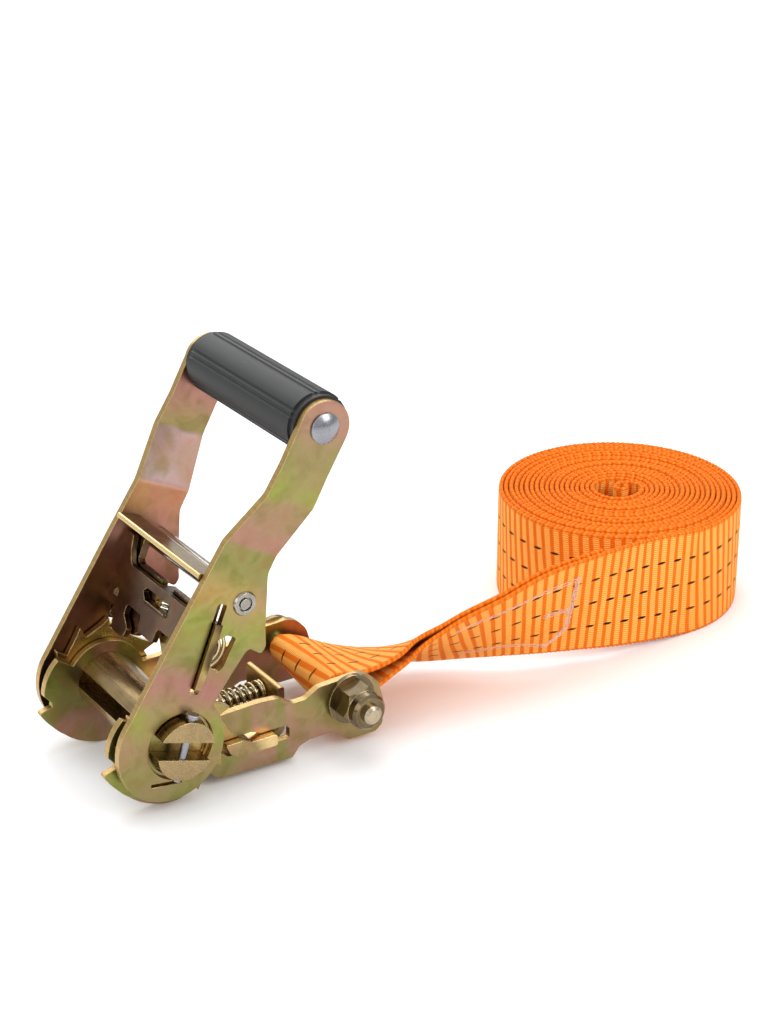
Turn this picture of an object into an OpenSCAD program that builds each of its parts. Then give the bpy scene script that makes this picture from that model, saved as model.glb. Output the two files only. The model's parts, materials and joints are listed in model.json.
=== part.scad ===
// Ratchet tie down with a sewn-on strap.
// Origin: centre of the winding spool, mid width. +X runs from the spool to
// the strap bolt, +Y across the width (near side -Y, far side +Y), +Z up. Millimetres.

/* [Webbing] */
// Width of the webbing
strap_w = 50; // [40:1:50]
// Thickness of one layer of webbing
strap_t = 2.35; // [1.8:0.05:2.4]
// Outer radius of the rolled-up strap
roll_r = 54.2; // [40:0.2:60]
// Radius of the opening at the middle of the roll
roll_core_r = 11; // [8:0.5:16]

/* [Frame] */
// Clear width between the frame's side plates
frame_inner = 54; // [52:0.5:60]
// Thickness of the frame and handle plates
plate_t = 3; // [2:0.1:3.2]
// Radius of the release cam at the frame's round end
cam_r = 27.5; // [27:0.1:27.6]
// Distance from the spool to the strap bolt
bolt_x = 79.8; // [78:0.2:82]
// Strap bolt thread diameter
bolt_d = 8; // [8:1:10]

/* [Spool] */
// Radius of the round made by the two half bars
bar_r = 12; // [11:0.1:12]
// Width of the slot between the half bars
slot_gap = 7.4; // [5:0.1:8]
// Turn of the slot about the spool's axis
slot_turn = -17; // [-60:1:60]
// Radius to the ratchet teeth's tips
tooth_r = 25; // [24:0.1:25]
// Number of ratchet teeth
teeth = 12; // [12:12:12]

/* [Handle] */
// Angle of the handle above the frame
handle_angle = 64.7; // [50:0.1:90]
// Distance from the spool to the grip
grip_u = 134.4; // [132:0.2:150]
// Outer radius of the grip sleeve
grip_r = 12.6; // [11:0.1:13]

/* [Hidden] */
$fn = 96;

// Distances from mid width to the faces of the stacked plates
side_gap = 0.4;
frame_in = frame_inner / 2;
frame_out = frame_in + plate_t;
wheel_in = frame_out + side_gap;
wheel_out = wheel_in + 3;
handle_in = wheel_out + 0.6;
handle_out = handle_in + plate_t;
grip_in = handle_in + 8;         // the handle plates spread towards the grip
grip_out = grip_in + plate_t;

// ---------- helpers ----------
function unit(v) = v / norm(v);
function flat(p) = [p[0], p[1]];
function polar(r, angle) = [r * cos(angle), r * sin(angle)];

// arc that rounds one corner, made smaller where the edges are short
function corner(point, before, after, radius, steps) =
  radius <= 0 ? [point] :
  let (to_before = unit(before - point), to_after = unit(after - point),
       angle = acos(max(-1, min(1, to_before * to_after))))
  angle > 176 ? [point] :
  let (cut = min(radius / tan(angle / 2), 0.48 * min(norm(before - point), norm(after - point))),
       fit = cut * tan(angle / 2),
       centre = point + unit(to_before + to_after) * fit / sin(angle / 2),
       start = point + to_before * cut - centre,
       end = point + to_after * cut - centre,
       start_angle = atan2(start[1], start[0]),
       sweep = atan2(end[1], end[0]) - start_angle,
       turn = sweep > 180 ? sweep - 360 : sweep < -180 ? sweep + 360 : sweep)
  [for (i = [0:steps]) centre + polar(fit, start_angle + turn * i / steps)];

// outline with rounded corners; a point's third value is its own radius
function rounded(points, radius = 0, steps = 4) =
  let (n = len(points))
  [for (i = [0:n - 1])
    let (p = points[i])
    each corner(flat(p), flat(points[(i + n - 1) % n]), flat(points[(i + 1) % n]),
      len(p) > 2 ? p[2] : radius, steps)];

// half an outline, followed by its mirror image in y
function mirrored(half) =
  concat(half, [for (i = [len(half) - 1:-1:0]) [half[i][0], -half[i][1], half[i][2]]]);

// a side-view outline (x, z), extruded across the width from y0 to y1
module across(y0, y1) translate([0, y1, 0]) rotate([90, 0, 0]) linear_extrude(y1 - y0) children();

// the same, on the near and the far side
module both_sides(y0, y1) {
  across(y0, y1) children();
  across(-y1, -y0) children();
}

// on each side at distance y, with +Z turned outwards
module facing_out(y)
  for (side = [-1, 1]) translate([0, side * y, 0]) rotate([-90 * side, 0, 0]) children();

module cyl_y(r, y0, y1) across(y0, y1) circle(r = r);

module ring(outer_r, inner_r) difference() {
  circle(r = outer_r);
  circle(r = inner_r);
}

// a coil of round wire along +Z
module coil(mean_r, wire_r, length, turns, steps = 20, sides = 8) {
  n = turns * steps;
  rise = (length - 2 * wire_r) / n;
  polyhedron(
    points = [for (k = [0:n]) for (j = [0:sides - 1])
      let (turn = k * 360 / steps, around = (j + 0.5) * 360 / sides,
           r = mean_r + wire_r * cos(around))
      [r * cos(turn), r * sin(turn), wire_r + rise * k + wire_r * sin(around)]],
    faces = concat(
      [for (k = [0:n - 1]) for (j = [0:sides - 1])
        let (this = k * sides + j, next = k * sides + (j + 1) % sides)
        each [[this, next, next + sides], [this, next + sides, this + sides]]],
      [[for (j = [sides - 1:-1:0]) j], [for (j = [0:sides - 1]) n * sides + j]]));
}

// ---------- frame ----------
bolt_z = -5.5;
bolt_r = bolt_d / 2;
guide_x = 33.5;       // start and height of the lock spring's guide pin
guide_z = -9;
guide_r = 2.6;
lug_half_w = 13;

// release cam: angle about the spool, radius
cam_table = [
  [145.5, cam_r - 2.8], [155, cam_r - 1.8], [167, cam_r - 0.9], [178, cam_r - 0.2],
  [181, cam_r - 0.3], [194, cam_r + 2.9], [200, cam_r + 2.4], [210, cam_r + 1.1],
  [225, cam_r + 0.1], [245, cam_r], [270, cam_r], [290, cam_r - 1.3], [307, cam_r - 1.5]];
function cam_arc(start, step, end) =
  [for (angle = [start:step:end]) polar(lookup(angle, cam_table), angle)];

// the cam, with a notch between its two arcs
module release_cam() polygon(concat(
  [[0, 0], polar(17, 145)],
  cam_arc(145.5, 3.5, 181),
  [polar(24.6, 188.5), polar(24.4, 191), polar(24.8, 193.4)],
  [polar(cam_r + 2.5, 193.9), polar(cam_r + 2.9, 195.5)],
  cam_arc(198, 4, 306),
  [[15.8, -20.6]]));

// x, z, corner radius
arm_outline = [
  [0, 0, 0], [15.6, -20.4, 2], [19.6, -24.0, 3], [53, -24.9, 2], [56.2, -20.8, 3], [61, -19, 3],
  [72.4, -19.1, 2.5], [75.5, -22.3, 3], [79.5, -24.8, 3], [92.2, -24.7, 3], [95.6, -22, 3],
  [95.8, -10.4, 8], [93.6, -2.6, 8], [88.8, 2.6, 8], [84, 4.1, 6], [65.7, 3.1, 6],
  [59.5, -0.5, 4], [53.4, -0.5, 4], [47, 3.8, 6], [38.5, 4.4, 6], [16, 3.6, 0]];
floor_outline = [[19.6, -24.4, 1], [55, -24.85, 1], [55, -21.9, 0.5], [19.6, -21.4, 1]];
lug_outline = [
  [50, -24.75, 0], [59.5, -24.75, 4.5], [59.5, -2.4, 1.2],
  [56.5, -2.4, 1.2], [56.5, -21.8, 1.6], [50, -21.8, 0]];
// x, z
lock_slot_outline = [
  [20.6, -8.0], [34.6, -7.6], [38.6, -9.4], [49.8, -9.4],
  [51.9, -11.1], [51.9, -15.4], [24, -15.4], [20.6, -12.5]];

module frame_side() difference() {
  union() {
    circle(r = 17);
    release_cam();
    polygon(rounded(arm_outline));
  }
  circle(r = bar_r + 0.05);
  polygon(rounded(lock_slot_outline, 1));
  translate([bolt_x, bolt_z]) circle(r = bolt_r + 0.05);
}

module frame_channel() color([0.66, 0.60, 0.36]) {
  both_sides(frame_in, frame_out) frame_side();
  // floor between the side plates
  difference() {
    across(-frame_in, frame_in) polygon(rounded(floor_outline));
    translate([26, 0, -30]) cylinder(r = 3.2, h = 12);
  }
  // spring lug turned up at the floor's end, with the guide pin's hole
  difference() {
    across(-lug_half_w, lug_half_w) polygon(rounded(lug_outline));
    translate([50, 0, guide_z]) rotate([0, 90, 0]) cylinder(r = guide_r + 0.07, h = 20);
  }
}

// ---------- strap bolt ----------
hex_size = 15.8;      // across flats, bolt head and nut
washer_t = 2;
washer_out = frame_out + washer_t;
head_h = 6.4;
bolt_end = 49;        // thread's end, on the near side
nut_out = 41.2;       // hexagon's outer face, on the near side
collar_r = 7.6;
collar_out = 44.6;
nut_ring_r = 6.08;

module at_bolt() translate([bolt_x, 0, bolt_z]) children();
module hexagon() rotate(12) circle(r = hex_size / sqrt(3), $fn = 6);

module strap_bolt() color([0.72, 0.68, 0.52]) at_bolt() {
  difference() {
    cyl_y(bolt_r, -bolt_end, washer_out);
    // chamfered end
    translate([0, -bolt_end, 0]) rotate([-90, 0, 0]) difference() {
      translate([0, 0, -1]) cylinder(r = 7, h = 2.2);
      translate([0, 0, -0.01]) cylinder(r1 = bolt_r - 1.2, r2 = bolt_r + 0.3, h = 1.5);
    }
  }
  // head, its outer corners cut by a cone
  intersection() {
    across(washer_out, washer_out + head_h) hexagon();
    translate([0, washer_out + head_h, 0]) rotate([90, 0, 0])
      cylinder(r1 = 7.6, r2 = 12.6, h = head_h);
  }
}

module bolt_nut() color([0.62, 0.56, 0.40]) at_bolt() difference() {
  union() {
    intersection() {
      across(-nut_out, -washer_out) hexagon();
      translate([0, -nut_out, 0]) rotate([-90, 0, 0])
        cylinder(r1 = 7.8, r2 = 16.5, h = nut_out - washer_out);
    }
    cyl_y(collar_r, -collar_out, -nut_out);
    translate([0, -collar_out, 0]) rotate([90, 0, 0]) cylinder(r1 = collar_r, r2 = 6.5, h = 1.4);
  }
  cyl_y(bolt_r + 0.03, -50, 0);
  cyl_y(nut_ring_r + 0.02, -45.4, -42);
}

module nut_ring() color([0.78, 0.78, 0.72]) at_bolt() difference() {
  cyl_y(nut_ring_r, -45.2, -42.02);
  cyl_y(bolt_r + 0.02, -50, -40);
}

module bolt_washers() color([0.70, 0.66, 0.48]) at_bolt()
  both_sides(frame_out + 0.02, washer_out - 0.02) ring(10.6, bolt_r + 0.2);

// ---------- lock pawl ----------
// x, z, corner radius
blade_outline = [
  [21.3, -8.3, 0.4], [29, -8.1, 1], [33, -9.9, 1.5], [44.4, -9.9, 1],
  [44.4, -14.9, 1], [27, -14.9, 1], [23.2, -12.4, 0.6]];
bridge_outline = [[27, -9.9], [33, -9.9], [33, -14.9], [27, -14.9]];
upright_outline = [[30.5, -14.9, 0], [33.5, -14.9, 0], [33.5, -3.6, 1], [30.5, -3.6, 1]];
bridge_half_w = 13;

module lock_pawl() color([0.74, 0.62, 0.34]) {
  // two side blades whose noses sit under a ratchet tooth
  both_sides(bridge_half_w, wheel_out + 0.2) polygon(rounded(blade_outline, steps = 3));
  // middle bridge, and its upright on the spool side of the spring
  across(-bridge_half_w, bridge_half_w) polygon(bridge_outline);
  across(-7, 7) polygon(rounded(upright_outline));
}

module spring_guide_pin() color([0.70, 0.64, 0.44])
  translate([guide_x, 0, guide_z]) rotate([0, 90, 0]) {
    length = 26.4;
    cylinder(r = guide_r, h = length);
    translate([0, 0, length]) cylinder(r1 = guide_r, r2 = 1.8, h = 0.9);
  }

module lock_spring() color([0.74, 0.72, 0.62])
  translate([guide_x + 0.1, 0, guide_z]) rotate([0, 90, 0])
    coil(mean_r = 4.1, wire_r = 0.65, length = 22.8, turns = 7);

// ---------- handle ----------
// In the handle's own frame u (X) runs along the handle to the grip, and
// v (Z) across it, positive away from the strap bolt.
grip_v = -3.6;
grip_place = [grip_u, 0, grip_v];
plate_end_r = 10.8;              // plate's round end at the grip
edge_v = 10.75;                  // where the edges meet the round end
rod_r = 4;
cross_u = 60.3;
cross_v = -3.9;
cross_r = 4;
hub_r = 13.93;
pawl_tilt = 3.3;                 // drive pawl's angle to the handle

module handle_frame() rotate([0, -handle_angle, 0]) children();
module pawl_frame() rotate([0, -handle_angle - pawl_tilt, 0]) children();

// edges of the plate: u, v, corner radius
bolt_side_edge = [
  [19.0, -7.4, 0], [31.1, -9.9, 4], [41.5, -12.6, 2], [43.2, -14.0, 1.2], [42.0, -20.0, 1.4],
  [45.6, -20.6, 3], [52.5, -17.3, 8], [73.4, -9.2, 8], [79.3, -9.7, 8], [105.4, -12.2, 6],
  [117.2, -12.9, 6], [grip_u - 2, grip_v - edge_v, 0]];
outer_edge = [
  [grip_u - 2, grip_v + edge_v, 0], [117.2, 8.0, 8], [103.6, 9.8, 10],
  [81.8, 14.1, 10], [57.7, 17.9, 8], [4, 25.55, 0]];
// u, v
window_outline = [[31.5, -3.6], [33.4, 1.0], [44, 1.5], [46.6, -1.6], [46.4, -6.2], [34, -5.4]];
slit_outline = [[-18.6, 6.0], [-17.2, 6.4], [-13.0, -6.2], [-14.4, -6.7]];
pawl_slot_outline = [[21.3, -0.2], [58.4, -0.2], [58.4, 3.95], [21.3, 3.95]];
// far plate seen along v: u, y, corner radius
joggle_outline = [
  [-40, handle_in, 0], [82, handle_in, 6], [104.5, grip_in, 9], [170, grip_in, 0],
  [170, grip_out, 0], [103.6, grip_out, 6], [81.1, handle_out, 9], [-40, handle_out, 0]];

module handle_side() difference() {
  polygon(concat(
    [for (angle = [78:6:330]) [-1.35, 3.56] + polar(22.6, angle)],
    rounded(bolt_side_edge),
    [for (angle = [-90:10:90]) [grip_u, grip_v] + polar(plate_end_r, angle)],
    rounded(outer_edge)));
  circle(r = hub_r + 0.07);
  polygon(rounded(window_outline, 1));
  polygon(slit_outline);
  translate([cross_u, cross_v]) circle(r = cross_r + 0.05);
}

// far plate, with its outward joggle
module handle_plate() handle_frame() difference() {
  intersection() {
    across(handle_in - 1, grip_out + 1) difference() {
      handle_side();
      rotate(pawl_tilt) polygon(rounded(pawl_slot_outline, 1));
    }
    translate([0, 0, -40]) linear_extrude(90) polygon(rounded(joggle_outline, steps = 5));
  }
  translate(grip_place) cyl_y(rod_r + 0.05, 0, 80);
}
module handle_plate_far() color([0.70, 0.60, 0.42]) handle_plate();
module handle_plate_near() color([0.66, 0.62, 0.36]) mirror([0, 1, 0]) handle_plate();

// far half of the web, in the pawl's frame: x, y, corner radius
web_half = [
  [50, 25, 3.5], [56, 28.2, 3], [61, 29.6, 1.5], [61, handle_in, 0], [31.2, handle_in, 0],
  [31.2, 26.2, 1.5], [22.5, 25.4, 2.5], [22.5, 15, 2.5], [27, 13.6, 2], [31, 19, 2],
  [35.5, 19, 2], [35.5, 7, 1.5], [29, 6, 1.5]];
web_slot = [[42.2, -10.5], [46.4, -10.5], [46.4, 8.5], [44.4, 10.8], [42.2, 8.5]];

module handle_web() color([0.60, 0.50, 0.36]) pawl_frame() {
  bottom = 4.2;
  top = 6.7;
  translate([0, 0, bottom]) linear_extrude(top - bottom) difference() {
    polygon(rounded(mirrored(web_half)));
    polygon(rounded(web_slot, 0.8));
  }
  // pressed louvre along the slot, and two small pressed domes
  across(-9.5, 7.5)
    polygon([[40.2, top - 0.3], [42.2, top - 0.3], [42.2, top + 1.1], [41.5, top + 1.0]]);
  for (side = [-1, 1]) translate([36.5, 29.6 * side, top - 0.6]) sphere(r = 2.1, $fn = 32);
  // tab through the pawl, which the spring pushes against
  across(-4, 4) polygon([[48.2, -2.6], [50, -2.6], [50, bottom + 0.5], [48.2, bottom + 0.5]]);
}

module handle_cross_tube() color([0.80, 0.80, 0.78]) handle_frame()
  translate([cross_u, 0, cross_v]) difference() {
    rim_h = 0.9;
    union() {
      cyl_y(cross_r, -handle_out - rim_h, handle_out + rim_h);
      cyl_y(4.7, -handle_in + 0.1, handle_in - 0.1);
      facing_out(handle_out + 0.05) cylinder(r1 = 5, r2 = 4.4, h = rim_h);
    }
    // ring groove in each end
    both_sides(handle_out - 0.6, handle_out + 2) ring(3, 2.1);
  }

module grip_rod() color([0.80, 0.80, 0.80]) handle_frame() translate(grip_place) {
  head_r = 6;
  rim_h = 0.7;
  cyl_y(rod_r, -grip_out - 0.1, grip_out + 0.1);
  // domed heads
  facing_out(grip_out + 0.05) {
    cylinder(r = head_r, h = rim_h);
    intersection() {
      translate([0, 0, -7.05]) sphere(r = 9.8);
      translate([0, 0, rim_h]) cylinder(r = head_r, h = 4);
    }
  }
}

module grip_sleeve() color([0.16, 0.17, 0.18]) handle_frame() translate(grip_place) difference() {
  groove_angles = [25.3:60:359];
  across(-grip_in + 0.15, grip_in - 0.15) difference() {
    circle(r = grip_r);
    // pairs of narrow grooves between the lobes, with a shallow flat cut in each pair's middle
    for (angle = groove_angles) for (offset_angle = [-5.5, 5.5])
      rotate(angle + offset_angle) translate([grip_r + 0.25, 0]) circle(r = 0.85, $fn = 24);
    for (angle = groove_angles) rotate(angle) translate([grip_r + 0.5, -1]) square([2, 2]);
  }
  cyl_y(rod_r + 0.06, -60, 60);
  // shallow step at each end
  both_sides(grip_in - 3, grip_in + 1) ring(grip_r + 2, grip_r - 0.8);
}

// two bent wires inside each small window: bend radius, start and end angle
clip_arcs = [[8.4, -150, -35], [6.2, -140, -45]];
module pawl_wire_clips() color([0.80, 0.70, 0.46]) handle_frame() for (side = [-1, 1])
  translate([39, side * (handle_in - 0.85), 3.4]) rotate([90, 0, 0])
    for (arc = clip_arcs) rotate([0, 0, arc[1]])
      rotate_extrude(angle = arc[2] - arc[1]) translate([arc[0], 0]) circle(r = 0.75, $fn = 32);

// ---------- drive pawl ----------
pawl_bottom = 0.3;
pawl_top = 3.45;
pawl_end = 63;
// far half of the plate, in the pawl's frame: x, y, corner radius
pawl_half = [
  [28, 9, 3], [24.6, 13, 2], [24.6, 26.3, 0.8], [28, frame_in - side_gap, 0.3],
  [28, wheel_in - 0.15, 0.3], [25.25, wheel_in + 0.05, 0.2],
  [25.25, handle_in - side_gap, 0.4], [27.4, handle_in - side_gap, 0.2],
  [27.4, handle_in - 0.1, 0.2], [23.6, handle_in + 0.3, 0.4],
  [23.6, handle_out + 2.2, 0.6], [50.8, handle_out + 2.2, 0.8],
  [50.8, handle_in - side_gap, 0.3], [pawl_end, handle_in - side_gap, 0]];

module drive_pawl() color([0.62, 0.54, 0.36]) pawl_frame() {
  translate([0, 0, pawl_bottom]) linear_extrude(pawl_top - pawl_bottom) difference() {
    polygon(rounded(concat([[36, 0, 2]], mirrored(pawl_half))));
    translate([38, -5]) square([14, 10]);
    polygon(rounded([[51.4, -26], [61.6, -26], [61.6, 26], [51.4, 26]], 2));
  }
  // finger pull, bent up at the plate's end
  bend_x = pawl_end + 0.8;
  outer_r = 4.2;
  inner_r = 1.9;
  across(-handle_in + side_gap, handle_in - side_gap) polygon(concat(
    [[pawl_end - 1, pawl_bottom]],
    [for (a = [0:10:90]) [bend_x + outer_r * sin(a), pawl_bottom + outer_r - outer_r * cos(a)]],
    [[68, 13.6], [67.6, 14.2], [66.1, 14.2], [65.7, 13.8], [65.7, pawl_top + inner_r]],
    [for (a = [75:-15:0]) [bend_x + inner_r * sin(a), pawl_top + inner_r - inner_r * cos(a)]],
    [[pawl_end - 1, pawl_top]]));
}

module drive_spring() color([0.80, 0.62, 0.36]) pawl_frame()
  translate([38.1, 0, 0.8]) rotate([0, 90, 0])
    coil(mean_r = 2.6, wire_r = 0.45, length = 10, turns = 5);

// ---------- spool ----------
bar_end = handle_out + 5;
pin_y = bar_end - 2.4;
pin_r = 1.6;
pin_half = 13.2;                 // half the pin's length
// one ratchet tooth: radius, angle from its tip
tooth_profile = [[20, -1.5], [tooth_r, 0], [tooth_r, 0.8], [22.6, 8], [21.0, 17]];

module slot_frame() rotate([0, -slot_turn, 0]) children();

// side is 1 for the upper bar, -1 for the lower
module half_bar(side) color([0.72, 0.62, 0.46]) slot_frame() difference() {
  intersection() {
    cyl_y(bar_r, -bar_end, bar_end);
    translate([-20, -60, side > 0 ? slot_gap / 2 : -slot_gap / 2 - 20]) cube([40, 120, 20]);
  }
  for (end = [-1, 1]) translate([0, end * pin_y, -20]) cylinder(r = pin_r + 0.05, h = 40);
}
module spool_bar_upper() half_bar(1);
module spool_bar_lower() half_bar(-1);

module ratchet_outline() difference() {
  polygon([for (i = [0:teeth - 1]) for (p = tooth_profile)
    polar(p[0], -10.5 + i * 360 / teeth + p[1])]);
  // openings for the half bars, leaving a rib in the slot
  rotate(slot_turn) difference() {
    circle(r = bar_r + 0.05);
    translate([-20, -slot_gap / 2 + 0.05]) square([40, slot_gap - 0.1]);
  }
}
module ratchet_wheel() color([0.60, 0.54, 0.34]) {
  across(wheel_in, wheel_out) ratchet_outline();
  across(wheel_out - 0.5, handle_in + 1.2) ring(hub_r, bar_r + 0.6);
}
module ratchet_wheel_far() ratchet_wheel();
module ratchet_wheel_near() mirror([0, 1, 0]) ratchet_wheel();

module split_pins() color([0.78, 0.76, 0.68]) slot_frame() for (end = [-1, 1])
  translate([0, end * pin_y, -pin_half]) {
    cylinder(r = pin_r, h = 2 * pin_half);
    translate([0, 0, 2 * pin_half]) cylinder(r = 2.6, h = 1.4);
  }

// ---------- webbing ----------
layer_gap = 0.05;
loop_r = bolt_r + 0.3;           // inside of the loop round the bolt
loop_end = 106;
seam_end = 206;                  // two layers up to here
roll_x = 261;
roll_y = 29;
ground_z = -27.6;
tail_y = roll_y - roll_r - strap_t / 2 - layer_gap;   // centre of the layer that leaves the roll

// circle of radius r with two straight sides that meet height +-h at x = length
module teardrop(r, h, length) {
  lean = asin((r - h) / length);
  polygon(concat([[length, -h], [length, h]],
    [for (i = [0:40]) polar(r, 90 - lean + (180 + 2 * lean) * i / 40)]));
}
module webbing_loop() color([0.95, 0.50, 0.12]) at_bolt()
  across(-strap_w / 2, strap_w / 2) difference() {
    teardrop(loop_r + strap_t, strap_t + layer_gap, loop_end - bolt_x);
    teardrop(loop_r, 0.1, loop_end - bolt_x - 6);
  }

// the tail between the loop (0) and the roll (1): fraction, turn on edge, y, z
tail_stations = [
  [0, 0, 0, bolt_z], [0.03, 13, -3.5, -7], [0.076, 29, -5.7, -6.5],
  [0.19, 42.5, -12.1, -4.3], [0.31, 53.5, -19.5, 0.3], [0.44, 69, -22.9, 3.7],
  [0.61, 77.5, -25.9, 3.7], [0.79, 88.5, -26.4, 1.2],
  [1, 90, tail_y + strap_t / 2, ground_z + strap_w / 2]];
function tail_value(t, column) = lookup(t, [for (row = tail_stations) [row[0], row[column]]]);
tail_start = loop_end + 0.15;
function tail_x(t) = tail_start + (roll_x - 0.1 - tail_start) * t;
module on_tail(t) translate([tail_x(t), tail_value(t, 2), tail_value(t, 3)])
  rotate([-tail_value(t, 1), 0, 0]) children();

// two layers as far as the sewn end, then one
module tail_slice(t) {
  sewn = tail_x(t) < seam_end;
  on_tail(t) translate([0, 0, sewn ? 0 : -strap_t / 2])
    cube([0.1, strap_w, sewn ? 2 * strap_t : strap_t], center = true);
}

// slices lie closer together near the loop
twist_steps = 24;
function step_at(i) = pow(i / twist_steps, 1.4);
module webbing_tail() color([0.95, 0.50, 0.12]) for (i = [0:twist_steps - 1]) hull() {
  tail_slice(step_at(i));
  tail_slice(step_at(i + 1));
}

module webbing_roll() color([0.97, 0.55, 0.15]) translate([roll_x, roll_y, ground_z]) difference() {
  cylinder(r = roll_r, h = strap_w, $fn = 160);
  translate([0, 0, -1]) cylinder(r = roll_core_r, h = strap_w + 2);
}

// stitch runs: start (tail fraction, place up the width), end (the same), stitches
stitch_runs = [
  [[0.287, 16], [0.559, 16.5], 10],
  [[0.255, -16], [0.50, -20], 9],
  [[0.559, 16.5], [0.555, -8], 4],
  [[0.555, -8], [0.50, -20], 4]];
module stitch_dot(place) on_tail(place[0])
  translate([0, -place[1], -strap_t - 1.3]) cube([1, 1, 0.7], center = true);
module seam_thread() color([0.92, 0.80, 0.66])
  for (run = stitch_runs) for (i = [0:run[2] - 1]) hull()
    for (k = [i, i + 1]) stitch_dot(run[0] + (run[1] - run[0]) * k / run[2]);

frame_channel();
strap_bolt();
bolt_nut();
nut_ring();
bolt_washers();
lock_pawl();
lock_spring();
spring_guide_pin();
handle_plate_near();
handle_plate_far();
handle_web();
handle_cross_tube();
grip_rod();
grip_sleeve();
pawl_wire_clips();
drive_pawl();
drive_spring();
spool_bar_upper();
spool_bar_lower();
ratchet_wheel_near();
ratchet_wheel_far();
split_pins();
webbing_loop();
webbing_tail();
webbing_roll();
seam_thread();
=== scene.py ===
"""Ratchet tie-down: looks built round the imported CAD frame, in metres with +Z up.

The ratchet is at the -X end, its handle rising steeply towards +X. The webbing loops round
the strap bolt, runs along +X while it turns on edge, and ends in a roll that stands on edge.
The front is -Y. The webbing and its seam are worked out in millimetres.
"""
import json
import math

import bpy
import numpy as np
from mathutils import Matrix, Vector


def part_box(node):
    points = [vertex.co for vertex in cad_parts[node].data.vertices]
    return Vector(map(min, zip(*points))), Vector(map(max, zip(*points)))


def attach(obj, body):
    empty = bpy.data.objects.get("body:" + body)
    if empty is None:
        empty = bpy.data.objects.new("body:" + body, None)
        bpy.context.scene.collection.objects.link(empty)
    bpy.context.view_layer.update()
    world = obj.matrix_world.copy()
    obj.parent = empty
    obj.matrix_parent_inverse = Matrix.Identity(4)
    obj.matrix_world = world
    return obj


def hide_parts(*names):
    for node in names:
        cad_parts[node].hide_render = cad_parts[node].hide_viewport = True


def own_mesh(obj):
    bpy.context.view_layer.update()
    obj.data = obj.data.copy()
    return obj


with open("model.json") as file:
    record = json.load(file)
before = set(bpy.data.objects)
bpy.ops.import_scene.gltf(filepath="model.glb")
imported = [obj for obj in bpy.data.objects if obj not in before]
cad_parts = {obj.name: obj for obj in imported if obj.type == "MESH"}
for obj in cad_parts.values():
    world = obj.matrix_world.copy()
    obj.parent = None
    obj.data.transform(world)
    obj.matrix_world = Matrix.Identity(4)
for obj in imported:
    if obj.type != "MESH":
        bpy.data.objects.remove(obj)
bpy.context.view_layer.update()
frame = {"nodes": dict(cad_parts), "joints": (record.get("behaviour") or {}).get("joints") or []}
nodes = frame["nodes"]
MM = 0.001


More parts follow.
